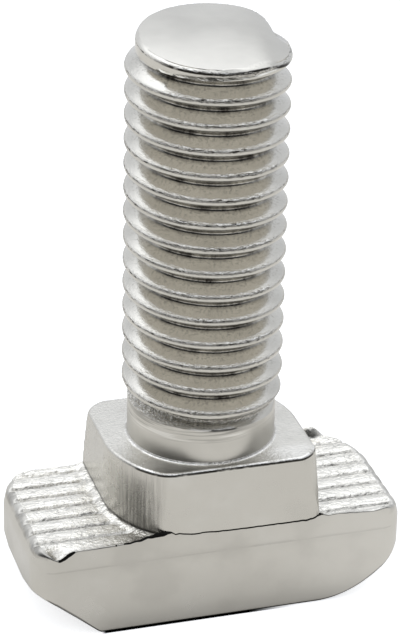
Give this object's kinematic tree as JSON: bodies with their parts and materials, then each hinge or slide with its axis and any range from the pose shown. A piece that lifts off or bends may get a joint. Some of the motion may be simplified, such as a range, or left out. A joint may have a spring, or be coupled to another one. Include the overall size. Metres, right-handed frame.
{
  "type": "t-slot bolt",
  "caption": "Hammer-head bolt for a T-slot profile: serrated bar head, slot-filling collar with two turning corners, plain neck and a metric thread.",
  "frame": {"origin": "under the bolt's axis on the flat underside of the head, at the middle of the object's footprint", "axes": "+Z along the bolt's axis towards the thread's end, +X along the head's long side, -Y the front"},
  "size_m": [0.019, 0.0082, 0.0296],
  "materials": {
    "nickel_plate": "satin nickel plate on steel"
  },
  "bodies": {
    "root": {"t_slot_bolt": "nickel_plate"}
  },
  "joints": []
}
